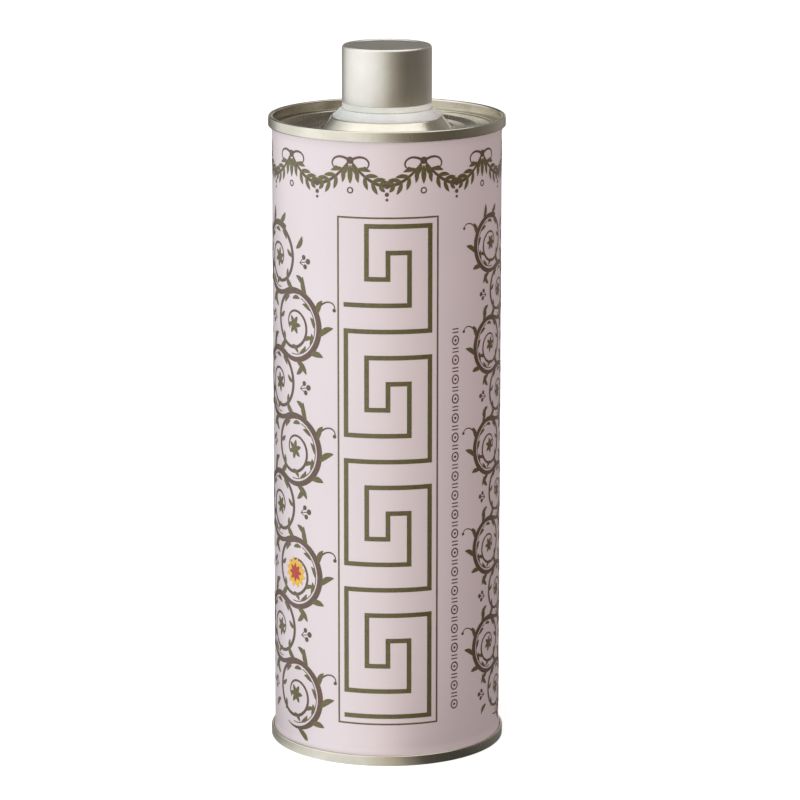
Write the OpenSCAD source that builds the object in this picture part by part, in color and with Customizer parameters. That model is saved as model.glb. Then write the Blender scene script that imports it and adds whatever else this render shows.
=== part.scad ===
// Round tinplate oil can with double-seamed ends and a snapped-on pouring spout with a screw cap.
// Origin at the centre of the base, +Z up through the neck. All sizes are in millimetres.

/* [Can] */
// Diameter over the straight part of the body wall
body_d = 65.4; // [62:0.1:70]
// Height of the can from one seam crest to the other
can_h = 183; // [120:1:240]
// Thickness of the body sheet
body_sheet = 0.2; // [0.16:0.01:0.24]
// Thickness of the sheet of both ends
end_sheet = 0.2; // [0.16:0.01:0.24]
// How far the body wall steps out on its way into a seam
seam_step = 0.26; // [0.1:0.01:0.4]
// Height over which the wall steps out
seam_step_h = 1.8; // [1.2:0.1:4]
// Bend radius where the step meets the seam
step_top_bend = 1.5; // [0.8:0.1:2]
// Bend radius where the step meets the straight wall
step_foot_bend = 3; // [1.5:0.1:4]
// Width of the welded overlap down the back of the body
weld_w = 0.8; // [0.4:0.1:1.6]
// How far the weld stands proud on either side of the sheet
weld_proud = 0.04; // [0.02:0.01:0.08]

/* [Double seams] */
// Length of a seam from its crest to its fold
seam_len = 3; // [2.7:0.05:3.4]
// Room between two folded layers of sheet
layer_gap = 0.08; // [0.05:0.01:0.12]
// Length of the hook folded on the body sheet
body_hook = 2; // [1.6:0.05:2.2]
// Length of the hook folded on the end sheet
end_hook = 1.9; // [1.5:0.05:2.1]
// Bend radius at the crest of a seam
crest_bend = 0.4; // [0.3:0.02:0.46]
// Length of the two legs of the sealing compound
compound_leg = 1.2; // [0.8:0.1:1.6]
// Share of the room between the layers that the compound fills
compound_fill = 0.75; // [0.6:0.05:0.9]

/* [Both ends] */
// Depth of the countersunk channel below the seam crest
sink_depth = 3.8; // [3.5:0.1:5]
// Width of the channel
sink_w = 1.2; // [1:0.1:1.8]
// How far the chuck wall leans in between seam and channel
chuck_lean = 0.2; // [0.1:0.05:0.4]
// Depth of the flat panel below the seam crest
panel_depth = 3; // [2.6:0.1:3.3]

/* [Top end] */
// Width of the raised rim beside the channel
rim_w = 0.8; // [0.6:0.1:1.5]
// Height of the raised rim
rim_h = 0.2; // [0.1:0.05:0.4]
// Width of the flat ring inside the rim
ring_w = 4.3; // [3.5:0.1:5]
// Width of the slope down to the inner panel
slope_w = 3.1; // [2:0.1:3.5]
// Drop of that slope
slope_h = 0.55; // [0.3:0.05:0.8]
// Diameter of the foot of the raised boss
boss_foot_d = 36.8; // [35:0.1:38]
// Diameter of the flat top of the boss
boss_top_d = 31.6; // [31.4:0.1:33.5]
// Height of the seam crest above the flat top of the boss
boss_drop = 0.4; // [0.1:0.1:1]
// Width of the shallow moat round the foot
moat_w = 0.9; // [0.7:0.1:1.3]
// Depth of the moat
moat_h = 0.2; // [0.1:0.05:0.3]
// Bore of the neck opening in the boss
neck_d = 21.4; // [21:0.1:22]
// Height of the neck above the boss, over its curl
neck_h = 1.7; // [1.6:0.05:1.75]
// Diameter of the curl rolled round the neck opening
curl_d = 1.1; // [1:0.05:1.15]

/* [Bottom end] */
// Mean radius of the outermost expansion bead
bead_r = 25; // [23:0.5:27]
// Step in radius from one bead to the next
bead_pitch = 7; // [5:0.5:8]
// Number of expansion beads
bead_count = 3; // [1:1:3]
// Width of a bead
bead_w = 2; // [1.6:0.1:3]
// Height of a bead
bead_h = 0.4; // [0.2:0.05:0.6]

/* [Spout] */
// Diameter of the skirt where it stands on the boss
skirt_d = 30.8; // [29.5:0.1:31]
// Height of the straight edge round the foot of the skirt
skirt_edge = 0.4; // [0.3:0.05:0.6]
// Thickness of the skirt at its foot
skirt_wall = 0.8; // [0.6:0.05:1.1]
// Height of the skirt from the boss to its shoulder
skirt_h = 2.35; // [2.3:0.05:3]
// Thickness of the threaded tube above the shoulder
tube_wall = 1.45; // [1.2:0.05:1.7]
// Length of the sealing plug below the top of the boss
plug_len = 1.6; // [1:0.1:4]
// Thickness of the plug
plug_wall = 1.1; // [0.8:0.05:1.3]
// Thickness of the ring that grips the curl
latch_wall = 0.8; // [0.6:0.05:0.9]
// Depth of the catch under the curl
catch_depth = 0.4; // [0.25:0.05:0.5]
// Height of the retaining bead above the shoulder
stop_z = 2; // [1.9:0.05:2.6]
// How far the retaining bead stands out of the tube
stop_h = 0.6; // [0.4:0.05:0.65]
// Height of the retaining bead with its slope
stop_len = 1.3; // [1:0.05:1.5]
// Thickness of the roof of the hollow skirt
roof_t = 1; // [0.8:0.05:1.2]
// Width of the step that the pour insert stands on
seat_w = 0.4; // [0.3:0.05:0.5]

/* [Screw thread] */
// Rise of the thread in one turn
lead = 3; // [2.5:0.1:3.5]
// Height of a ridge above its tube
thread_h = 0.7; // [0.5:0.05:0.8]
// Width of a ridge at its foot
thread_foot = 1.4; // [1.1:0.05:1.5]
// Width of a ridge at its crest
thread_crest = 0.6; // [0.4:0.05:0.7]
// Height of the start of the spout thread above the shoulder
thread_rise = 5.6; // [5:0.1:6.4]
// Turns of the thread on the spout
spout_turns = 1.75; // [1.25:0.25:2]
// Turns of the thread in the cap
liner_turns = 1.25; // [1:0.25:1.5]

/* [Pour insert] */
// Wall of the sleeve
insert_wall = 0.9; // [0.7:0.05:1.1]
// Length of the sleeve in the spout
insert_len = 8.8; // [6:0.1:10]
// Height of the drip lip above the end of the spout
lip_h = 1.3; // [1.1:0.05:1.6]
// Thickness of the flange on the end of the spout
flange_t = 0.7; // [0.5:0.05:0.8]
// Width of the flange beyond the bore of the spout
flange_w = 0.9; // [0.6:0.05:1]
// Diameter of the pouring hole
pour_hole_d = 7.2; // [6:0.1:9]
// Thickness of the funnel floor
funnel_t = 0.8; // [0.6:0.05:1.2]
// Fall of the funnel floor from the sleeve to the hole
funnel_fall = 1.4; // [0.8:0.1:2.5]
// Number of slots that let drips run back
slot_count = 4; // [3:1:6]
// Width of a slot
slot_w = 1.6; // [1.2:0.1:2]
// How far the drip lip leans out from the sleeve
lip_lean = 1.1; // [0.9:0.05:1.2]

/* [Tamper band] */
// Height of the band
band_h = 1.65; // [1.5:0.05:1.8]
// Thickness of the band
band_wall = 0.8; // [0.6:0.05:0.9]
// Number of pawls under the retaining bead
pawl_count = 8; // [6:1:12]
// Width of the gap between two pawls
pawl_gap = 0.8; // [0.5:0.1:1.2]
// Number of broken bridges on top of the band
bridge_count = 8; // [6:1:12]
// Width of a bridge
bridge_w = 0.6; // [0.4:0.1:1]

/* [Cap] */
// Diameter of the cap shell
cap_d = 25.56; // [25:0.02:26.2]
// Height of the cap shell
cap_h = 16.2; // [15.5:0.1:20]
// Thickness of the shell
shell_t = 0.2; // [0.15:0.01:0.3]
// Bend radius at the top corner of the shell
shell_bend = 0.75; // [0.5:0.05:1]
// Width of the rim round the recessed top
cap_rim_w = 1.5; // [1.2:0.1:2.5]
// Depth of the recessed top
cap_recess = 0.22; // [0.1:0.02:0.4]
// Wall of the plastic liner
liner_wall = 1.16; // [1:0.02:1.3]
// Thickness of the top of the liner
liner_top_t = 1; // [0.8:0.05:1.4]
// Thickness of the sealing disc
disc_t = 1.1; // [0.8:0.05:1.5]
// Clearance round the edge of the sealing disc
disc_edge_gap = 0.2; // [0.1:0.05:0.3]
// How far the bead under the sealing disc stands in
disc_keeper = 0.35; // [0.3:0.05:0.4]
// Height of that bead
keeper_h = 0.7; // [0.5:0.05:0.8]

/* [Clearances] */
// Gap where one piece is pressed into another
press_gap = 0.02; // [0.01:0.01:0.04]
// Gap between the sleeve and the bore of the spout
sleeve_gap = 0.05; // [0.02:0.01:0.1]
// Gap between the plug or latch and the can neck
neck_gap = 0.08; // [0.05:0.01:0.12]
// Gap between the lip and the sealing disc
seal_gap = 0.05; // [0.03:0.01:0.08]
// Gap between the root of one thread and the crest of the other
root_gap = 0.25; // [0.15:0.05:0.35]
// Gap between the flanks of the two threads
flank_gap = 0.12; // [0.08:0.02:0.2]
// Gap under the tamper band and between band and cap
band_gap = 0.1; // [0.05:0.05:0.2]
// Gap between the pawls and the tube
pawl_clearance = 0.15; // [0.1:0.05:0.25]

/* [Hidden] */
$fn = 96;
bend_step = 18;
eps = 0.5;
// Edge break on moulded pieces, and its finer and wider forms
edge_break = 0.25;
fine_break = 0.1;
lead_in = 0.5;

// Layers of a double seam from the inside out, as centreline radii
body_r = body_d / 2;
wall_r = body_r + seam_step - body_sheet / 2;
chuck_r = wall_r - body_sheet / 2 - layer_gap - end_sheet / 2;
end_hook_r = wall_r + body_sheet / 2 + layer_gap + end_sheet / 2;
body_hook_r = end_hook_r + end_sheet / 2 + layer_gap + body_sheet / 2;
outer_r = body_hook_r + body_sheet / 2 + layer_gap + end_sheet / 2;
// A fold turns back on itself round nearly half the distance between its two layers
fold_part = 0.98;
body_fold_bend = fold_part * (body_hook_r - wall_r) / 2;
end_fold_bend = fold_part * (outer_r - end_hook_r) / 2;
// Depth of the body fold's centreline below the crest
body_fold_y = end_sheet + layer_gap + body_sheet / 2;

// Ends, measured from the seam crest with the inside of the can below
half_end = end_sheet / 2;
sink_r = chuck_r - chuck_lean;
sink_y = -sink_depth - half_end;
panel_y = -panel_depth - half_end;
sink_bend = 0.35;
small_bend = 0.2;
wide_bend = 1.2;
// Width that each short wall between two levels takes up
wall_run = 0.3;
rim_out_r = sink_r - sink_w - wall_run;
ring_out_r = rim_out_r - rim_w - wall_run;
ring_in_r = ring_out_r - ring_w;
inner_y = panel_y - slope_h;
moat_r = boss_foot_d / 2 + moat_w;
boss_bend = 0.6;
boss_y = -boss_drop - half_end;
neck_sheet_r = neck_d / 2 + half_end;
curl_bend = (curl_d - end_sheet) / 2;
curl_y = -boss_drop + neck_h - curl_d / 2;

// Levels of the closure
boss_z = can_h - boss_drop;
curl_low_z = boss_z + neck_h - curl_d;
shoulder_z = boss_z + skirt_h;
stop_low_z = shoulder_z + stop_z;
band_z = shoulder_z + band_gap;
band_top_z = band_z + band_h;
cap_z = band_top_z + band_gap / 2;
liner_z = cap_z + band_gap;
cap_top_z = cap_z + cap_h;
liner_top_z = cap_top_z - cap_recess - shell_t - press_gap;
disc_top_z = liner_top_z - liner_top_t - press_gap;
disc_z = disc_top_z - disc_t;
lip_z = disc_z - seal_gap;
tube_top_z = lip_z - lip_h;
sleeve_z = tube_top_z - insert_len;

// Radii of the closure from the outside in
cap_r = cap_d / 2;
liner_r = cap_r - shell_t - press_gap;
liner_bore_r = liner_r - liner_wall;
tube_r = liner_bore_r - thread_h - root_gap;
bore_r = tube_r - tube_wall;
sleeve_r = bore_r - sleeve_gap;
insert_bore_r = sleeve_r - insert_wall;
skirt_r = skirt_d / 2;
shoulder_r = cap_r + band_gap;
band_r = cap_r - band_gap;
plug_r = neck_d / 2 - neck_gap;
latch_r = neck_d / 2 + curl_d + neck_gap;
disc_r = liner_bore_r - disc_edge_gap;

// Screw thread
thread_steps = 30;
fade_steps = 4;
thread_bite = 0.2;
spout_thread_z = shoulder_z + thread_rise;
// The cap's ridge lies under the spout's: their mean widths and the play between the flanks
flank_drop = (thread_foot + thread_crest) / 2 + flank_gap;
liner_thread_z = spout_thread_z - flank_drop;

function unit(v) = v / norm(v);
function left_of(v) = [-v.y, v.x];
function turned(v, a) = [v.x * cos(a) - v.y * sin(a), v.x * sin(a) + v.y * cos(a)];
function reversed(list) = [for (i = [len(list) - 1:-1:0]) list[i]];

// Points round one corner, bent to a radius
function bend(before, corner, after, radius) =
    let (
        a = unit(before - corner),
        b = unit(after - corner),
        half = acos(max(-1, min(1, a * b))) / 2,
        centre = corner + unit(a + b) * radius / sin(half),
        start = corner + a * radius / tan(half) - centre,
        way = a.x * b.y - a.y * b.x > 0 ? -1 : 1,
        steps = ceil((180 - 2 * half) / bend_step)
    )
    [for (i = [0:steps]) centre + turned(start, way * (180 - 2 * half) * i / steps)];

// A path from corners [x, y, bend radius], where radius 0 keeps the corner
function bent_path(corners) = [
    for (i = [0:len(corners) - 1])
        let (here = [corners[i].x, corners[i].y])
        each corners[i][2] == 0 ? [here] : bend(
            [corners[i - 1].x, corners[i - 1].y], here, [corners[i + 1].x, corners[i + 1].y], corners[i][2]
        )
];

// A path moved sideways by a distance, to the left of its direction
function beside(path, distance) =
    let (
        last = len(path) - 1,
        lefts = [for (i = [0:last - 1]) left_of(unit(path[i + 1] - path[i]))]
    )
    [
        for (i = [0:last])
            let (a = lefts[max(i - 1, 0)], b = lefts[min(i, last - 1)])
            path[i] + (a + b) / (1 + a * b) * distance
    ];

// Section of a folded sheet along its centreline
function sheet_section(path, thickness) =
    concat(beside(path, thickness / 2), reversed(beside(path, -thickness / 2)));

module spun(points) {
    rotate_extrude() polygon(points);
}

// Puts a ring drawn from a seam crest at the top or the bottom of the can
module at_top() {
    translate([0, 0, can_h]) children();
}

module at_bottom() {
    mirror([0, 0, 1]) children();
}

// The folded edge that both ends share: end hook, outer wall, crest and chuck wall
function seam_edge() = [
    [end_hook_r, end_hook - seam_len, 0],
    [end_hook_r, half_end - seam_len, end_fold_bend],
    [outer_r, half_end - seam_len, end_fold_bend],
    [outer_r, -half_end, crest_bend],
    [chuck_r, -half_end, crest_bend],
    [sink_r, sink_y, sink_bend],
    [sink_r - sink_w, sink_y, sink_bend]
];

// One end of the body sheet, from the tip of its hook to the straight wall
function body_edge() = [
    [body_hook_r, -end_sheet - layer_gap - body_hook, 0],
    [body_hook_r, -body_fold_y, body_fold_bend],
    [wall_r, -body_fold_y, body_fold_bend],
    [wall_r, -seam_len, step_top_bend],
    [body_r - body_sheet / 2, -seam_len - seam_step_h, step_foot_bend]
];

module can_body() {
    top = [for (c = body_edge()) [c.x, can_h + c.y, c[2]]];
    bottom = [for (c = reversed(body_edge())) [c.x, -c.y, c[2]]];
    weld_from = seam_len + seam_step_h;
    color([0.87, 0.82, 0.83]) {
        spun(sheet_section(bent_path(concat(top, bottom)), body_sheet));
        intersection() {
            rotate_extrude()
                translate([body_r - body_sheet - weld_proud, weld_from])
                    square([body_sheet + 2 * weld_proud, can_h - 2 * weld_from]);
            translate([-weld_w / 2, 0, 0]) cube([weld_w, body_d, can_h]);
        }
    }
}

module top_end() {
    corners = concat(seam_edge(), [
        [rim_out_r, panel_y + rim_h, small_bend],
        [rim_out_r - rim_w, panel_y + rim_h, small_bend],
        [ring_out_r, panel_y, small_bend],
        [ring_in_r, panel_y, wide_bend],
        [ring_in_r - slope_w, inner_y, wide_bend],
        [moat_r, inner_y, small_bend],
        [moat_r - wall_run, inner_y - moat_h, small_bend],
        [boss_foot_d / 2, inner_y - moat_h, small_bend],
        [boss_top_d / 2, boss_y, boss_bend],
        [neck_sheet_r, boss_y, boss_bend / 2],
        [neck_sheet_r, curl_y, 0]
    ]);
    curl = [
        for (a = [180 - bend_step:-bend_step:-90])
            [neck_sheet_r + curl_bend, curl_y] + curl_bend * [cos(a), sin(a)]
    ];
    color([0.74, 0.73, 0.68])
        at_top() spun(sheet_section(concat(bent_path(corners), curl), end_sheet));
}

module bottom_end() {
    // Expansion beads, from the rim to the middle
    beads = [
        for (i = [0:bead_count - 1])
            let (r = bead_r - i * bead_pitch)
            each [
                [r + bead_w / 2, panel_y, small_bend],
                [r + bead_w / 4, panel_y - bead_h, small_bend],
                [r - bead_w / 4, panel_y - bead_h, small_bend],
                [r - bead_w / 2, panel_y, small_bend]
            ]
    ];
    corners = concat(seam_edge(), [[rim_out_r, panel_y, small_bend]], beads, [[0, panel_y, 0]]);
    color([0.74, 0.73, 0.68])
        at_bottom() spun(sheet_section(bent_path(corners), end_sheet));
}

// Rubber-like compound that lines the end's curl and wraps over the body fold
module seam_compound() {
    mid = end_sheet + layer_gap / 2;
    outside = outer_r - half_end - layer_gap / 2;
    inside = wall_r - body_sheet / 2 - layer_gap / 2;
    wrap = fold_part * (outside - inside) / 2;
    path = bent_path([
        [outside, -mid - wrap - compound_leg, 0],
        [outside, -mid, wrap],
        [inside, -mid, wrap],
        [inside, -mid - wrap - compound_leg, 0]
    ]);
    color([0.35, 0.36, 0.34]) spun(sheet_section(path, layer_gap * compound_fill));
}

module top_seam_compound() {
    at_top() seam_compound();
}

module bottom_seam_compound() {
    at_bottom() seam_compound();
}

// Ridge wound on a cylinder of radius root_r, standing out of it or into it by thread_h
module thread(root_r, out, start_z, turns) {
    last = round(turns * thread_steps);
    foot_r = root_r - out * thread_bite;
    points = [
        for (i = [0:last])
            let (
                a = 360 * (i + 0.5) / thread_steps,
                z = start_z + lead * (i + 0.5) / thread_steps,
                fade = min(1, i / fade_steps, (last - i) / fade_steps),
                crest_r = foot_r + out * (0.02 + fade * (thread_bite + thread_h - 0.02)),
                half_foot = thread_foot / 2 * out,
                half_crest = thread_crest / 2 * out
            )
            each [
                for (p = [
                    [foot_r, z - half_foot], [crest_r, z - half_crest],
                    [crest_r, z + half_crest], [foot_r, z + half_foot]
                ])
                    [p.x * cos(a), p.x * sin(a), p.y]
            ]
    ];
    sides = [
        for (i = [0:last - 1])
            for (k = [0:3])
                let (p = 4 * i + k, q = 4 * i + (k + 1) % 4)
                each [[p, q, p + 4], [q, q + 4, p + 4]]
    ];
    tip = 4 * last;
    ends = [[0, 2, 1], [0, 3, 2], [tip, tip + 1, tip + 2], [tip, tip + 2, tip + 3]];
    polyhedron(points, concat(sides, ends));
}

module spout_base() {
    flare = [
        for (i = [0:12])
            let (t = i / 12, fall = t * t * (3 - 2 * t))
            [shoulder_r + (skirt_r - shoulder_r) * t, shoulder_z - (skirt_h - skirt_edge) * fall]
    ];
    roof_z = boss_z + neck_h + neck_gap;
    seat_r = bore_r - seat_w;
    foot_z = boss_z + 0.6 * edge_break;
    color([0.93, 0.94, 0.93]) {
        rotate_extrude() {
            // Threaded tube with a step that the insert stands on, its retaining bead and a chamfered end
            polygon([
                [bore_r, sleeve_z - press_gap], [bore_r, tube_top_z],
                [tube_r - edge_break, tube_top_z], [tube_r, tube_top_z - edge_break],
                [tube_r, stop_low_z + stop_len], [tube_r + stop_h, stop_low_z + lead_in],
                [tube_r + stop_h, stop_low_z + fine_break], [tube_r, stop_low_z],
                [tube_r, roof_z], [seat_r, roof_z], [seat_r, sleeve_z - press_gap]
            ]);
            // Plug in the neck of the can
            polygon([
                [plug_r - plug_wall, shoulder_z], [plug_r, shoulder_z],
                [plug_r, boss_z - plug_len + lead_in], [plug_r - seat_w, boss_z - plug_len],
                [plug_r - plug_wall, boss_z - plug_len]
            ]);
            // Shoulder and flared skirt, hollow underneath
            difference() {
                polygon(concat([[seat_r, shoulder_z]], flare, [[skirt_r, boss_z], [seat_r, boss_z]]));
                translate([0, boss_z - eps]) square([latch_r, roof_z - boss_z + eps]);
                polygon([
                    [latch_r + latch_wall, boss_z - eps], [latch_r + latch_wall, shoulder_z - roof_t],
                    [shoulder_r + seat_w, shoulder_z - roof_t], [skirt_r - skirt_wall, boss_z + skirt_edge],
                    [skirt_r - skirt_wall, boss_z - eps]
                ]);
                translate([latch_r - eps, boss_z - eps]) square([latch_wall + eps, eps + foot_z - boss_z]);
            }
            // Catch under the curl
            polygon([
                [latch_r + fine_break, foot_z], [latch_r, foot_z],
                [latch_r - catch_depth, curl_low_z - edge_break], [latch_r - catch_depth, curl_low_z - neck_gap],
                [latch_r + fine_break, curl_low_z]
            ]);
        }
        thread(tube_r, 1, spout_thread_z, spout_turns);
    }
}

module pour_insert() {
    floor_z = sleeve_z + funnel_fall;
    hole_r = pour_hole_d / 2;
    flange_z = tube_top_z + press_gap;
    flange_r = bore_r + flange_w;
    // Land between the slots and the walls on either side of them
    land = 0.9;
    color([0.95, 0.95, 0.94])
        difference() {
            spun([
                [hole_r, sleeve_z], [hole_r, sleeve_z + funnel_t], [insert_bore_r, floor_z + funnel_t],
                [insert_bore_r, tube_top_z], [insert_bore_r + edge_break, lip_z - lead_in],
                [insert_bore_r + lip_lean - edge_break, lip_z], [insert_bore_r + lip_lean, lip_z],
                [insert_bore_r + lip_lean + fine_break, lip_z - fine_break], [sleeve_r, flange_z + flange_t],
                [flange_r, flange_z + flange_t], [flange_r, flange_z], [sleeve_r, flange_z],
                [sleeve_r, sleeve_z], [insert_bore_r, sleeve_z], [insert_bore_r, floor_z]
            ]);
            for (i = [0:slot_count - 1])
                rotate([0, 0, (i + 0.5) * 360 / slot_count])
                    translate([hole_r + land, -slot_w / 2, sleeve_z - eps])
                        cube([insert_bore_r - hole_r - 2 * land, slot_w, funnel_fall + funnel_t + 2 * eps]);
        }
}

module tamper_band() {
    inner_r = band_r - band_wall;
    pawl_r = tube_r + pawl_clearance;
    bridge_foot = 0.2;
    color([0.94, 0.94, 0.92]) {
        difference() {
            spun([
                [band_r, band_z], [band_r, band_top_z], [inner_r, band_top_z], [inner_r, band_z + lead_in],
                [pawl_r + edge_break, band_top_z - fine_break], [pawl_r, band_top_z - lead_in],
                [inner_r - lead_in, band_z]
            ]);
            for (i = [0:pawl_count - 1])
                rotate([0, 0, i * 360 / pawl_count])
                    translate([0, -pawl_gap / 2, band_z - eps])
                        cube([inner_r - fine_break / 2, pawl_gap, band_h + 2 * eps]);
        }
        for (i = [0:bridge_count - 1])
            rotate([0, 0, (i + 0.5) * 360 / bridge_count])
                translate([inner_r + fine_break, -bridge_w / 2, band_top_z - bridge_foot])
                    cube([band_wall / 2, bridge_w, bridge_foot + band_gap]);
    }
}

module cap_shell() {
    half_t = shell_t / 2;
    path = bent_path([
        [cap_r - half_t, cap_z, 0],
        [cap_r - half_t, cap_top_z - half_t, shell_bend],
        [cap_r - cap_rim_w, cap_top_z - half_t, small_bend],
        [cap_r - cap_rim_w - wall_run, cap_top_z - half_t - cap_recess, small_bend],
        [0, cap_top_z - half_t - cap_recess, 0]
    ]);
    color([0.7, 0.69, 0.65]) spun(sheet_section(path, shell_t));
}

module cap_liner() {
    keeper_r = liner_bore_r - disc_keeper;
    edge = shell_bend * 0.6;
    color([0.9, 0.9, 0.88]) {
        spun([
            [0, disc_top_z + press_gap], [liner_bore_r, disc_top_z + press_gap],
            [liner_bore_r, disc_z - fine_break], [keeper_r, disc_z - 2 * fine_break],
            [keeper_r, disc_z - 4 * fine_break], [liner_bore_r, disc_z - fine_break - keeper_h], [liner_bore_r, liner_z], [liner_r, liner_z],
            [liner_r, liner_top_z - edge], [liner_r - edge, liner_top_z], [0, liner_top_z]
        ]);
        thread(liner_bore_r, -1, liner_thread_z, liner_turns);
    }
}

module sealing_disc() {
    color([0.86, 0.86, 0.83]) translate([0, 0, disc_z]) cylinder(h = disc_t, r = disc_r);
}

can_body();
top_end();
bottom_end();
top_seam_compound();
bottom_seam_compound();
spout_base();
pour_insert();
tamper_band();
cap_shell();
cap_liner();
sealing_disc();
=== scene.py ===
import math

import bpy
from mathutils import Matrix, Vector


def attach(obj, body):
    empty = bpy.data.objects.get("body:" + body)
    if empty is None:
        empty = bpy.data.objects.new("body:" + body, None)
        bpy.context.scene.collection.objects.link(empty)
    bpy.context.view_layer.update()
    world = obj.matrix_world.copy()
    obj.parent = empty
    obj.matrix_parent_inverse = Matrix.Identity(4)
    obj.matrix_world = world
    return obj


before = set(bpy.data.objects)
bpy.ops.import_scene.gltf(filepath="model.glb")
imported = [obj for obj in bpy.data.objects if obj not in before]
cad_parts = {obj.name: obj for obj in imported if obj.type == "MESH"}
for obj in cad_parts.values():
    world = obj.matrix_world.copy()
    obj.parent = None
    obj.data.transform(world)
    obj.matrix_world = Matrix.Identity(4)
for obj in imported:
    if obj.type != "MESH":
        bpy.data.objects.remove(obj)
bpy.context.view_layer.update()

scene = bpy.context.scene
MM = 0.001

# ---------------------------------------------------------------- sizes, in millimetres
WALL_R = 32.7
INK_R = WALL_R + 0.03
CAN_H = 183.0


def srgb(r, g, b):
    """A colour given as 8-bit sRGB, made linear."""
    def linear(v):
        v /= 255
        return v / 12.92 if v <= 0.04045 else ((v + 0.055) / 1.055) ** 2.4
    return (linear(r), linear(g), linear(b), 1.0)


# Camera -----------------------------------------------------------------------------

camera = bpy.data.objects.new("camera", bpy.data.cameras.new("camera"))
scene.collection.objects.link(camera)
camera.location = (0.0, -1.1232, 0.3521)
camera.rotation_euler = (math.radians(90 - 12.66), 0.0, 0.0)
camera.data.sensor_width = 36.0
camera.data.lens = 179.54
camera.data.shift_x = 0.01634
camera.data.clip_start = 0.05
camera.data.clip_end = 50.0
scene.camera = camera


# Material helpers -------------------------------------------------------------------

class Shader:
    """A material whose nodes are made with short calls."""

    def __init__(self, name):
        self.material = bpy.data.materials.new(name)
        self.material.use_nodes = True
        self.tree = self.material.node_tree
        self.tree.nodes.clear()
        self.output = self.tree.nodes.new("ShaderNodeOutputMaterial")

    def node(self, kind, values=None, **settings):
        made = self.tree.nodes.new("ShaderNode" + kind)
        for key, value in settings.items():
            setattr(made, key, value)
        for key, value in (values or {}).items():
            if isinstance(value, bpy.types.NodeSocket):
                self.tree.links.new(value, made.inputs[key])
            else:
                made.inputs[key].default_value = value
        return made

    def coords(self, scale=(1.0, 1.0, 1.0)):
        place = self.node("TexCoord").outputs["Object"]
        return self.node("Mapping", {"Vector": place, "Scale": scale}).outputs["Vector"]

    def noise(self, scale, detail=2.0, stretch=(1.0, 1.0, 1.0), rough=0.5):
        return self.node("TexNoise", {
            "Vector": self.coords(stretch), "Scale": scale, "Detail": detail, "Roughness": rough,
        }).outputs["Fac"]

    def math(self, operation, a, b=0.0, c=0.0, clamp=False):
        return self.node("Math", {0: a, 1: b, 2: c}, operation=operation, use_clamp=clamp).outputs[0]

    def between(self, fac, low, high, start=0.0, end=1.0):
        return self.node("MapRange", {
            "Value": fac, "From Min": low, "From Max": high, "To Min": start, "To Max": end,
        }).outputs["Result"]

    def blend(self, fac, a, b):
        made = self.node("Mix", data_type="RGBA")
        for socket, value in ((made.inputs[0], fac), (made.inputs[6], a), (made.inputs[7], b)):
            if isinstance(value, bpy.types.NodeSocket):
                self.tree.links.new(value, socket)
            else:
                socket.default_value = value
        return made.outputs[2]

    def bump(self, height, strength, distance, normal=None):
        values = {"Height": height, "Strength": strength, "Distance": distance}
        if normal is not None:
            values["Normal"] = normal
        return self.node("Bump", values).outputs["Normal"]

    def finish(self, values):
        shader = self.node("BsdfPrincipled", values)
        self.tree.links.new(shader.outputs["BSDF"], self.output.inputs["Surface"])
        return self.material


def dress(node, *materials):
    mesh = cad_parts[node].data
    mesh.materials.clear()
    for material in materials:
        mesh.materials.append(material)
    for face in mesh.polygons:
        face.material_index = 0


# Materials --------------------------------------------------------------------------

def tinplate(name, tint, deep, rough):
    """Bright rolled tinplate: fine parallel grain and cloudy tin."""
    s = Shader(name)
    grain = s.noise(1.0, 3.0, (6500.0, 160.0, 160.0), 0.6)
    cloud = s.noise(95.0, 3.0)
    colour = s.blend(s.between(cloud, 0.35, 0.65), tint, deep)
    roughness = s.math("ADD", s.between(grain, 0.3, 0.7, rough - 0.04, rough + 0.05), s.between(cloud, 0.3, 0.7, -0.02, 0.03))
    ripple = s.bump(s.noise(260.0, 1.0), 0.07, 0.00012)
    normal = s.bump(grain, 0.25, 0.00002, ripple)
    return s.finish({"Base Color": colour, "Metallic": 1.0, "Roughness": roughness, "Normal": normal})


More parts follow.
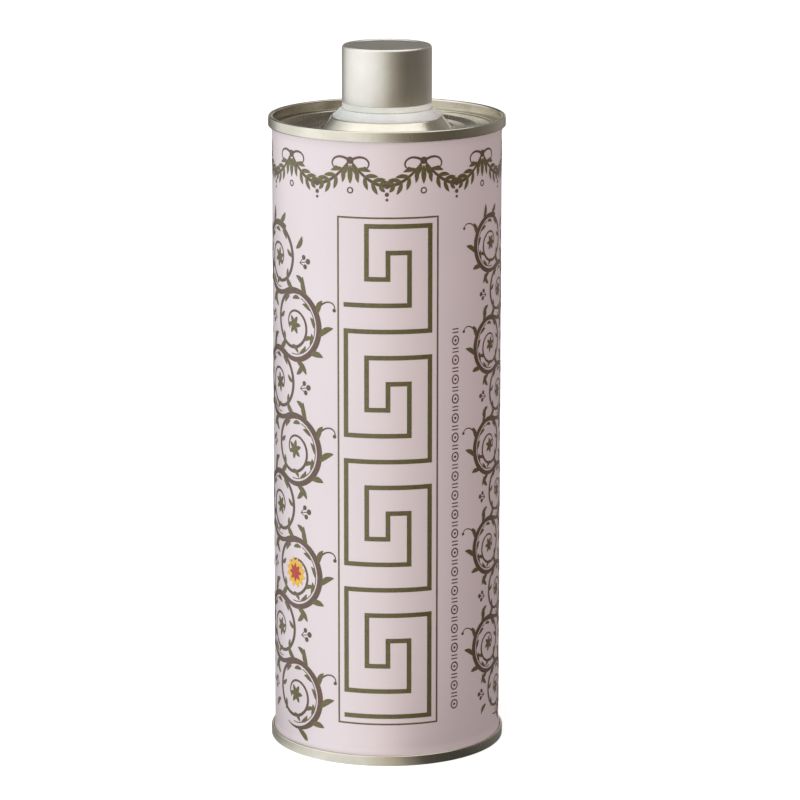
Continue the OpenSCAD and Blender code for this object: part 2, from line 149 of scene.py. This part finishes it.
def printed_tinplate():
    """The body sheet: a satin lilac coat outside, bare tin on hooks, weld margin and inside."""
    s = Shader("printed_tinplate")
    place = s.node("TexCoord").outputs["Object"]
    axes = s.node("SeparateXYZ", {"Vector": place}).outputs
    flat = s.node("CombineXYZ", {"X": axes["X"], "Y": axes["Y"], "Z": 0.0}).outputs["Vector"]
    radius = s.node("VectorMath", {0: flat}, operation="LENGTH").outputs["Value"]
    outside = s.math("GREATER_THAN", radius, 0.0326)
    side = s.math("ABSOLUTE", axes["X"])
    behind = s.math("GREATER_THAN", axes["Y"], 0.0)
    margin = s.math("MULTIPLY", s.math("LESS_THAN", side, 0.0032), behind)
    coated = s.math("MULTIPLY", outside, s.math("SUBTRACT", 1.0, margin))
    cloud = s.noise(22.0, 2.0)
    speck = s.noise(5200.0, 1.0)
    coat = s.blend(s.between(cloud, 0.35, 0.65), srgb(223, 210, 212), srgb(219, 206, 209))
    coat = s.blend(s.between(speck, 0.3, 0.7, 0.0, 0.35), coat, srgb(231, 219, 222))
    grain = s.noise(1.0, 3.0, (160.0, 160.0, 5200.0), 0.6)
    tin = s.blend(s.between(grain, 0.35, 0.65), srgb(196, 186, 166), srgb(176, 166, 148))
    colour = s.blend(coated, tin, coat)
    metal = s.between(coated, 0.0, 1.0, 1.0, 0.18)
    roughness = s.math("ADD", s.between(coated, 0.0, 1.0, 0.27, 0.40), s.between(grain, 0.3, 0.7, -0.03, 0.04))
    peel = s.bump(s.noise(1150.0, 1.0), 0.10, 0.00004)
    normal = s.bump(grain, 0.10, 0.00001, peel)
    return s.finish({
        "Base Color": colour, "Metallic": metal, "Roughness": roughness, "Normal": normal,
        "Coat Weight": 0.35, "Coat Roughness": 0.22,
    })


def ink(name, dark, light, metal=0.35):
    """Printing ink over the coat. The tin's grain shimmers through it."""
    s = Shader(name)
    speck = s.noise(4200.0, 2.0)
    cloud = s.noise(60.0, 2.0)
    colour = s.blend(s.between(speck, 0.42, 0.62), dark, light)
    colour = s.blend(s.between(cloud, 0.4, 0.6, 0.0, 0.25), colour, light)
    roughness = s.between(speck, 0.3, 0.7, 0.34, 0.46)
    normal = s.bump(speck, 0.12, 0.00002)
    return s.finish({
        "Base Color": colour, "Metallic": metal, "Roughness": roughness, "Normal": normal,
        "Coat Weight": 0.3, "Coat Roughness": 0.25,
    })


def moulded(name, colour, shade, rough, glow, radius):
    """Injection-moulded polyethylene with a soft grain and a little light inside."""
    s = Shader(name)
    cloud = s.noise(180.0, 3.0)
    fine = s.noise(2600.0, 2.0)
    tint = s.blend(s.between(cloud, 0.35, 0.65), colour, shade)
    roughness = s.between(fine, 0.3, 0.7, rough - 0.04, rough + 0.05)
    normal = s.bump(fine, 0.10, 0.00003, s.bump(cloud, 0.06, 0.0001))
    return s.finish({
        "Base Color": tint, "Roughness": roughness, "Normal": normal, "IOR": 1.51,
        "Subsurface Weight": glow, "Subsurface Radius": radius, "Subsurface Scale": 0.002,
    })


def satin_aluminium():
    """Lacquered aluminium: even fine grain and faint drawing lines."""
    s = Shader("satin_aluminium")
    grain = s.noise(5200.0, 2.0, rough=0.7)
    drawn = s.noise(1.0, 2.0, (900.0, 900.0, 60.0), 0.6)
    cloud = s.noise(120.0, 2.0)
    colour = s.blend(s.between(cloud, 0.35, 0.65), srgb(226, 223, 215), srgb(218, 214, 205))
    colour = s.blend(s.between(grain, 0.35, 0.7, 0.0, 0.4), colour, srgb(198, 193, 182))
    roughness = s.math("ADD", s.between(grain, 0.3, 0.7, 0.30, 0.38), s.between(drawn, 0.3, 0.7, -0.02, 0.03))
    normal = s.bump(grain, 0.30, 0.00002, s.bump(drawn, 0.06, 0.00002))
    return s.finish({"Base Color": colour, "Metallic": 1.0, "Roughness": roughness, "Normal": normal})


def rubber():
    s = Shader("seam_rubber")
    fine = s.noise(1800.0, 3.0)
    colour = s.blend(s.between(fine, 0.35, 0.65), srgb(44, 46, 44), srgb(62, 64, 60))
    return s.finish({"Base Color": colour, "Roughness": s.between(fine, 0.3, 0.7, 0.6, 0.8), "Normal": s.bump(fine, 0.3, 0.00005)})


def foam():
    s = Shader("disc_foam")
    cells = s.node("TexVoronoi", {"Vector": s.coords(), "Scale": 3200.0}).outputs["Distance"]
    colour = s.blend(s.between(cells, 0.1, 0.6), srgb(232, 231, 226), srgb(214, 212, 204))
    return s.finish({"Base Color": colour, "Roughness": s.between(cells, 0.0, 0.7, 0.75, 0.6), "Normal": s.bump(cells, 0.35, 0.00006)})


end_tin = tinplate("end_tinplate", srgb(214, 209, 195), srgb(201, 195, 180), 0.21)
dress("can_body", printed_tinplate())
dress("top_end", end_tin)
dress("bottom_end", end_tin)
dress("top_seam_compound", rubber())
dress("bottom_seam_compound", rubber())
dress("spout_base", moulded("spout_plastic", srgb(243, 245, 241), srgb(233, 236, 233), 0.26, 0.40, (1.0, 1.0, 1.0)))
dress("pour_insert", moulded("insert_plastic", srgb(236, 238, 240), srgb(226, 229, 232), 0.34, 0.35, (1.0, 1.0, 1.0)))
dress("tamper_band", moulded("band_plastic", srgb(243, 246, 237), srgb(236, 239, 229), 0.42, 0.20, (1.0, 0.97, 0.9)))
dress("cap_shell", satin_aluminium())
dress("cap_liner", moulded("liner_plastic", srgb(240, 239, 234), srgb(232, 230, 224), 0.42, 0.20, (1.0, 0.95, 0.9)))
dress("sealing_disc", foam())


# Print ------------------------------------------------------------------------------
# A stroke is a list of (s, z, half width): s runs round the wall to the viewer's right from the front.

class Ink:
    """Collects strokes and turns them into one thin printed layer on the wall."""

    def __init__(self, name, level):
        self.name = name
        self.level = level
        self.points = []
        self.faces = []
        self.count = 0

    def place(self, s, z):
        r = INK_R + self.level + 0.0015 * (self.count % 7)
        a = s / WALL_R
        self.points.append((r * math.sin(a) * MM, -r * math.cos(a) * MM, z * MM))

    def stroke(self, line, closed=False):
        """A ribbon three points wide along the line."""
        n = len(line)
        start = len(self.points)
        for i in range(n):
            s, z, half = line[i]
            before = line[(i - 1) % n] if closed or i > 0 else line[i]
            after = line[(i + 1) % n] if closed or i < n - 1 else line[i]
            ds = after[0] - before[0]
            dz = after[1] - before[1]
            length = math.hypot(ds, dz) or 1.0
            ns = -dz / length * half
            nz = ds / length * half
            for k in (1, 0, -1):
                self.place(s + k * ns, z + k * nz)
        for i in range(n if closed else n - 1):
            a = start + 3 * i
            b = start + 3 * ((i + 1) % n)
            self.faces.append((a + 1, b + 1, b, a))
            self.faces.append((a + 2, b + 2, b + 1, a + 1))
        self.count += 1

    def square_line(self, corners, half):
        """A line with square corners, each leg a ribbon that reaches past the corner by half its width."""
        for (s0, z0), (s1, z1) in zip(corners, corners[1:]):
            length = math.hypot(s1 - s0, z1 - z0)
            us = (s1 - s0) / length
            uz = (z1 - z0) / length
            steps = max(2, int(length / 1.2))
            self.stroke([
                (s0 + us * (t * (length + 2 * half) - half), z0 + uz * (t * (length + 2 * half) - half), half)
                for t in [i / steps for i in range(steps + 1)]
            ])

    def leaf(self, s, z, heading, length, width, bow=0.0, steps=8):
        """A pointed leaf that starts at (s, z)."""
        a = math.radians(heading)
        line = []
        for i in range(steps + 1):
            t = i / steps
            along = t * length
            off = bow * math.sin(math.pi * t) * length
            half = max(0.02, width / 2 * math.sin(math.pi * min(1.0, t * 0.96 + 0.04)) ** 0.8)
            line.append((
                s + along * math.cos(a) - off * math.sin(a),
                z + along * math.sin(a) + off * math.cos(a),
                half,
            ))
        self.stroke(line)

    def dot(self, s, z, r, squeeze=1.0):
        line = []
        for i in range(9):
            c = math.cos(math.pi * i / 8)
            line.append((s - c * r * squeeze, z, max(0.01, r * math.sqrt(max(0.0, 1 - c * c)))))
        self.stroke(line)

    def ring(self, s, z, r, half, squeeze=1.0):
        self.stroke([
            (s + r * squeeze * math.cos(a), z + r * math.sin(a), half)
            for a in [2 * math.pi * i / 20 for i in range(20)]
        ], closed=True)

    def scroll(self, s, z, heading, length, near, far, wide, thin, steps=44, curl=2.2):
        """A vine that winds up: its curvature grows from near to far, in degrees a millimetre."""
        a = math.radians(heading)
        d = length / steps
        line = []
        for i in range(steps + 1):
            t = i / steps
            line.append((s, z, max(0.08, (wide + (thin - wide) * t) / 2)))
            a += math.radians(near + (far - near) * t ** curl) * d
            s += d * math.cos(a)
            z += d * math.sin(a)
        self.stroke(line)
        return line

    def build(self, material):
        mesh = bpy.data.meshes.new(self.name)
        mesh.from_pydata(self.points, [], self.faces)
        mesh.materials.append(material)
        for face in mesh.polygons:
            face.use_smooth = True
        made = bpy.data.objects.new(self.name, mesh)
        scene.collection.objects.link(made)
        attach(made, "tin")
        return made


brown = Ink("print_brown", 0.000)
olive = Ink("print_olive", 0.012)
ochre = Ink("print_ochre", 0.024)
red = Ink("print_red", 0.036)


def meander(pen, s0, s1, z0, z1, repeats, half):
    """A standing Greek key between two thin rails, closed at both ends."""
    rail = 0.24
    for s in (s0 + rail, s1 - rail):
        pen.square_line([(s, z0 + rail), (s, z1 - rail)], rail)
    for z in (z0 + rail, z1 - rail):
        pen.square_line([(s0 + rail, z), (s1 - rail, z)], rail)
    inset = 1.9
    low = z0 + inset + half
    u = (s1 - s0 - 2 * inset - 2 * half) / 4
    v = (z1 - z0 - 2 * inset - 2 * half) / (5 * repeats - 1)
    key = [(0, 0), (4, 0), (4, 4), (1, 4), (1, 2), (2, 2), (2, 3), (3, 3), (3, 1), (0, 1)]
    corners = [(a, b + 5 * i) for i in range(repeats) for a, b in key]
    pen.square_line([(s0 + inset + half + a * u, low + b * v) for a, b in corners], half)


def beads(pen, s, z0, z1):
    """A thin upright row of beads and reels."""
    step = 5.6
    z = z0
    while z < z1:
        pen.ring(s, z, 1.25, 0.19, 0.85)
        pen.dot(s, z, 0.38)
        for off in (2.3, 3.3):
            pen.stroke([(s - 1.05, z + off, 0.17), (s, z + off, 0.17), (s + 1.05, z + off, 0.17)])
        z += step


def ahead(s, z, heading, far):
    """The point that lies far ahead of (s, z)."""
    a = math.radians(heading)
    return s + far * math.cos(a), z + far * math.sin(a)


def palmette(s, z, size, heading, petals=5, spread=130):
    """A fan of petals on a small heart."""
    for i in range(petals):
        t = i / (petals - 1) - 0.5
        a = heading + t * spread
        x, y = ahead(s, z, a, 0.8)
        bow = -0.10 if t > 0 else 0.10 if t < 0 else 0.0
        olive.leaf(x, y, a, size * (1.0 - 0.9 * abs(t) ** 1.6), size * 0.26, bow)
    brown.dot(s, z, 0.75)


def berries(s, z, heading, size=1.0):
    """Three dots on short stalks."""
    for turn, far, r in ((-34, 2.4, 0.72), (0, 3.4, 0.84), (34, 2.4, 0.72)):
        x, y = ahead(s, z, heading + turn, far * size)
        brown.stroke([(s, z, 0.12), ((s + x) / 2, (z + y) / 2, 0.12), (x, y, 0.12)])
        brown.dot(x, y, r * size)


def rosette(s, z, size, outer, inner):
    """A round flower with two rings of petals."""
    for i in range(12):
        outer.leaf(s, z, 30 * i + 15, size, size * 0.42, steps=7)
    for i in range(8):
        inner.leaf(s, z, 45 * i, size * 0.62, size * 0.28, steps=6)
    inner.dot(s, z, size * 0.16)


def vine(s0, z0, r, half_pitch, turns, accent=None):
    """A winding stem of arcs that curls into a spiral with a flower on either side in turn."""
    c = math.sqrt(4 * r * r - half_pitch * half_pitch) / 2
    meet = math.degrees(math.atan2(half_pitch / 2, -c))
    big = r / 10
    for i in range(turns):
        way = 1 if i % 2 == 0 else -1
        z = z0 + r + i * half_pitch

        def at(a, radius):
            x, y = ahead(0, 0, a, radius)
            return s0 + way * (c + x), z + y

        def heading(a):
            return a if way == 1 else 180 - a

        steps = 40
        sweep = [-meet + 2 * meet * k / steps for k in range(steps + 1)]
        swell = [0.62 + 0.30 * math.sin(math.pi * k / steps) for k in range(steps + 1)]
        if i == 0:
            swell = [w * min(1.0, 0.2 + k / 14) for k, w in enumerate(swell)]
        brown.stroke([(*at(a, r), w * big) for a, w in zip(sweep, swell)])
        brown.stroke([(*at(a, r - 1.5 * big), 0.13) for a in sweep[3:-8]])
        # The spiral leaves the stem at the top of the arc
        coil = []
        steps = 72
        for k in range(steps + 1):
            f = k / steps
            a = meet - 46 + f * 500
            radius = r * (1.0 - 0.76 * f ** 0.86)
            coil.append((*at(a, radius), (0.62 - 0.40 * f) * big))
        brown.stroke(coil)
        centre = at(0, 0)
        if accent is not None and i == accent:
            rosette(centre[0], centre[1], 4.6 * big, ochre, red)
        else:
            for k in range(6):
                olive.leaf(centre[0], centre[1], 60 * k + 20 * i, 2.9 * big, 1.35 * big, steps=6)
            brown.dot(centre[0], centre[1], 0.62 * big)
        # Leaves on the outside of the arc, and smaller ones inside the coil
        for k, a in enumerate((-84, -48, -12, 24, 60, 94)):
            x, y = at(a, r + 0.4)
            long = (5.4 if k % 2 == 0 else 4.4) * big
            olive.leaf(x, y, heading(a + 44), long, 1.75 * big, 0.12 * way)
            x, y = at(a + 12, r - 1.8 * big)
            olive.leaf(x, y, heading(a + 128), 3.3 * big, 1.2 * big, -0.14 * way)
        for a in (150, 205, 262, 318):
            x, y = at(a, r * 0.60)
            olive.leaf(x, y, heading(a + 60), 3.4 * big, 1.25 * big, 0.12 * way)
        # Tendril, palmette and berries in the gap on the other side
        gap = at(180, r + 1.2 * big)
        berries(gap[0], gap[1], heading(168), big)
        x, y = at(180 - 22, r + 0.4)
        olive.leaf(x, y, heading(124), 4.6 * big, 1.6 * big, 0.12 * way)
        x, y = at(180 + 22, r + 0.4)
        olive.leaf(x, y, heading(222), 4.6 * big, 1.6 * big, -0.12 * way)
        x, y = at(28, r + 0.3)
        line = brown.scroll(x, y, heading(62), 9.0 * big, -6 * way, -52 * way, 0.62 * big, 0.3 * big, 26)
        brown.dot(line[-1][0], line[-1][1], 0.55 * big)


def garland(z, depth, count, end):
    """Hanging garlands of leaves under the upper seam, round to the rules beside the weld."""
    span = 2 * end / count

    def hang(s0, t, drop=0.0):
        return s0 + t * span, z - (depth + drop) * (1 - (2 * t - 1) ** 2)

    for i in range(count):
        s0 = i * span - end
        steps = 40
        brown.stroke([(*hang(s0, k / steps), 0.26 + 0.22 * math.sin(math.pi * k / steps)) for k in range(steps + 1)])
        for k in (1, 2, 3, 4, 6, 7, 8, 9):
            t = k / 10
            s, low = hang(s0, t)
            s_next, low_next = hang(s0, t + 0.02)
            way = 1 if t < 0.5 else -1
            along = math.degrees(math.atan2(low_next - low, s_next - s)) + (0 if way == 1 else 180)
            long = 2.5 if k in (4, 6) else 3.9
            olive.leaf(s, low, along + 38, long, 1.2, 0.06)
            olive.leaf(s, low, along - 38, long, 1.2, -0.06)
        for drop, r in ((0.0, 0.85), (2.4, 0.6), (3.9, 0.42)):
            s, low = hang(s0, 0.5, drop)
            brown.dot(s, low, r)
        if i == 0:
            for s in (-end, end):
                brown.dot(s, z, 0.95)
            continue
        for turn in (-58, -122, -90):
            x, y = ahead(s0, z - 0.6, turn, 1.0)
            olive.leaf(x, y, turn, 5.2 if turn == -90 else 4.0, 1.5, 0.0)
        for way in (1, -1):
            head = 40 if way == 1 else 140
            line = brown.scroll(s0, z - 0.4, head, 8.5, -10 * way, -62 * way, 0.8, 0.34, 28)
            brown.dot(line[-1][0], line[-1][1], 0.5)
        brown.dot(s0, z - 0.2, 1.05)
        brown.ring(s0, z - 8.6, 0.75, 0.2)


meander(olive, -14.3, 14.9, 12.0, 159.0, 4, 0.66)
beads(brown, 20.6, 16.5, 126.0)
vine(-34.6, 7.5, 10.0, 18.1, 8, 2)
vine(-67.6, 7.5, 9.6, 17.3, 8)
vine(39.4, 8.5, 8.0, 14.7, 10)
vine(68.0, 7.5, 9.6, 17.3, 8, 5)
garland(175.0, 7.2, 9, 93.6)
for side in (-1, 1):
    beads(brown, side * 89.5, 10.0, 158.0)
    brown.stroke([(side * 97.6, z, 0.3) for z in range(6, 178, 4)])
    brown.stroke([(side * 96.3, z, 0.12) for z in range(6, 178, 4)])

brown.build(ink("ink_brown", srgb(80, 59, 48), srgb(110, 87, 73), 0.30))
olive.build(ink("ink_olive", srgb(86, 80, 48), srgb(117, 109, 71), 0.45))
ochre.build(ink("ink_ochre", srgb(222, 170, 30), srgb(236, 188, 60), 0.15))
red.build(ink("ink_red", srgb(168, 42, 22), srgb(186, 62, 34), 0.15))


# Stage and light --------------------------------------------------------------------
# The studio is a low round wall of soft light, bright on the left and dim on the right.
# Azimuth 0 is at the camera and 90 on its right; each stop has a strength and a tint.

WALL_LIGHT = [
    (-180, 0.08, (1.00, 0.90, 0.80)), (-155, 0.16, (1.00, 0.94, 0.88)), (-140, 0.34, (1.0, 1.0, 1.0)),
    (-126, 0.95, (1.0, 1.01, 1.02)), (-105, 1.20, (1.0, 1.02, 1.04)), (-70, 1.38, (1.0, 1.03, 1.06)), (-38, 1.24, (1.0, 1.02, 1.05)),
    (-14, 0.98, (1.0, 1.0, 0.97)), (0, 0.60, (1.0, 0.95, 0.85)), (14, 0.32, (1.0, 0.89, 0.72)),
    (35, 0.15, (1.0, 0.88, 0.68)), (60, 0.12, (1.0, 0.88, 0.72)), (95, 0.17, (1.0, 0.89, 0.78)),
    (125, 0.26, (1.0, 0.92, 0.84)), (145, 0.36, (1.0, 0.95, 0.90)), (180, 0.08, (1.00, 0.90, 0.80)),
]


# The floor close to the tin is what the lower seam mirrors, so it has the same light at half the azimuth. Its dim
# stops on the right are a painted shadow of the tin on the floor.
NEAR_LIGHT_AND_PAINTED_SHADOW = [
    (-180, 0.30, (1.0, 0.97, 0.93)), (-110, 0.30, (1.0, 0.97, 0.93)), (-82, 0.36, (1.0, 1.0, 1.0)),
    (-68, 0.66, (1.0, 1.0, 1.0)), (-55, 1.10, (1.0, 1.01, 1.02)), (-36, 1.34, (1.0, 1.03, 1.06)),
    (-20, 1.20, (1.0, 1.02, 1.05)), (-4, 1.02, (1.0, 0.97, 0.90)), (4, 0.76, (1.0, 0.93, 0.82)),
    (12, 0.36, (1.0, 0.92, 0.80)), (20, 0.14, (1.0, 0.93, 0.84)), (32, 0.09, (1.0, 0.96, 0.90)),
    (48, 0.10, (1.0, 0.97, 0.93)), (64, 0.16, (1.0, 0.98, 0.95)), (110, 0.30, (1.0, 0.95, 0.90)),
    (180, 0.30, (1.0, 0.97, 0.93)),
]


def wall_light(s, turn, lights=WALL_LIGHT):
    """The colour and strength of the light round the object, from a point's direction as seen from the origin."""
    place = s.node("TexCoord").outputs["Object"]
    axes = s.node("SeparateXYZ", {"Vector": place}).outputs
    back = s.math("MULTIPLY", axes["Y"], -1.0)
    angle = s.math("ARCTAN2", axes["X"], back)
    part = s.math("FRACT", s.math("ADD", s.math("DIVIDE", angle, 2 * math.pi), 0.5 + turn / 360))
    ramp = s.node("ValToRGB", {"Fac": part})
    stops = ramp.color_ramp.elements
    while len(stops) < len(lights):
        stops.new(0.5)
    for stop, (azimuth, strength, tint) in zip(stops, lights):
        stop.position = azimuth / 360 + 0.5
        stop.color = (tint[0] * strength / 2, tint[1] * strength / 2, tint[2] * strength / 2, 1)
    return ramp.outputs["Color"]


def staged(name, points, faces, material):
    mesh = bpy.data.meshes.new(name)
    mesh.from_pydata(points, [], faces)
    mesh.materials.append(material)
    made = bpy.data.objects.new(name, mesh)
    scene.collection.objects.link(made)
    return made


def studio_wall():
    s = Shader("studio_wall")
    glow = s.node("Emission", {"Color": wall_light(s, 0), "Strength": 2.0})
    s.tree.links.new(glow.outputs[0], s.output.inputs["Surface"])
    r = 0.7
    sides = 96
    points = []
    for i in range(sides):
        a = 2 * math.pi * i / sides
        points += [(r * math.sin(a), -r * math.cos(a), 0.002), (r * math.sin(a), -r * math.cos(a), 0.85)]
    faces = [(2 * i, 2 * i + 1, (2 * i + 3) % (2 * sides), (2 * i + 2) % (2 * sides)) for i in range(sides)]
    made = staged("studio_wall", points, faces, s.material)
    made.visible_camera = False
    made.visible_shadow = False


def back_strip():
    """A low bright strip behind the object that lights the crest of the upper seam and the panel."""
    s = Shader("back_strip")
    glow = s.node("Emission", {"Color": (1.0, 0.97, 0.90, 1), "Strength": 0.8})
    s.tree.links.new(glow.outputs[0], s.output.inputs["Surface"])
    points = []
    for i in range(9):
        a = math.radians(160 + 5 * i)
        points += [(0.6 * math.sin(a), -0.6 * math.cos(a), z) for z in (0.135, 0.264)]
    faces = [(2 * i, 2 * i + 1, 2 * i + 3, 2 * i + 2) for i in range(8)]
    made = staged("back_strip", points, faces, s.material)
    made.visible_camera = False
    made.visible_diffuse = False
    made.visible_shadow = False


def floor():
    s = Shader("floor_white_with_painted_light")
    soft = s.noise(3.0, 2.0)
    place = s.node("TexCoord").outputs["Object"]
    far = s.node("VectorMath", {0: place}, operation="LENGTH").outputs["Value"]
    shade = s.blend(s.between(soft, 0.3, 0.7), (0.80, 0.80, 0.80, 1), (0.82, 0.82, 0.82, 1))
    # Seen by the camera the floor is white. Its glow dips near the tin, which is painted shade round the tin's foot;
    # the real shadow also shows there.
    seen = s.node("BsdfPrincipled", {
        "Base Color": shade, "Roughness": 0.9, "Specular IOR Level": 0.1,
        "Emission Color": (1, 1, 1, 1), "Emission Strength": s.between(far, 0.12, 0.45, 0.66, 0.96),
    })
    # Every other ray meets a painted glow instead, which the tin mirrors and takes light from. Near the tin it is the
    # near-floor light with the tin's painted shadow, and further out it is the wall's light.
    painted_floor_light = s.blend(s.between(far, 0.045, 0.14), wall_light(s, 0, NEAR_LIGHT_AND_PAINTED_SHADOW), wall_light(s, -12))
    glow = s.node("Emission", {"Color": painted_floor_light, "Strength": 1.7})
    direct = s.node("LightPath").outputs["Is Camera Ray"]
    mixed = s.node("MixShader", {0: direct, 1: glow.outputs[0], 2: seen.outputs[0]})
    s.tree.links.new(mixed.outputs[0], s.output.inputs["Surface"])
    size = 6.0
    staged("floor", [(-size, -size, 0), (size, -size, 0), (size, size, 0), (-size, size, 0)], [(0, 1, 2, 3)], s.material)


def softbox(name, azimuth, elevation, distance, width, height, power, colour, shine, aim=(0, 0, 0.1)):
    """An area light that faces the object, for gloss alone or for matt surfaces alone."""
    data = bpy.data.lights.new(name, "AREA")
    data.shape = "RECTANGLE"
    data.size = width
    data.size_y = height
    data.energy = power
    data.color = colour
    made = bpy.data.objects.new(name, data)
    scene.collection.objects.link(made)
    a = math.radians(azimuth)
    e = math.radians(elevation)
    target = Vector(aim)
    made.location = target + distance * Vector((math.sin(a) * math.cos(e), -math.cos(a) * math.cos(e), math.sin(e)))
    made.rotation_euler = (target - made.location).to_track_quat("-Z", "Y").to_euler()
    made.visible_glossy = shine
    made.visible_diffuse = not shine


studio_wall()
back_strip()
floor()
softbox("top_gloss", 4, 86, 0.95, 3.0, 1.3, 16.0, (1.0, 1.0, 1.0), True)
softbox("top_fill", -20, 60, 1.2, 0.9, 0.7, 2.6, (1.0, 1.0, 1.0), False)
softbox("right_fill", 50, 18, 1.2, 0.7, 0.8, 7.8, (1.0, 0.87, 0.89), False)

world = bpy.data.worlds.new("studio")
scene.world = world
world.use_nodes = True
background = world.node_tree.nodes["Background"]
background.inputs["Color"].default_value = (0.90, 0.90, 0.92, 1)
background.inputs["Strength"].default_value = 0.25

scene.view_settings.view_transform = "Standard"
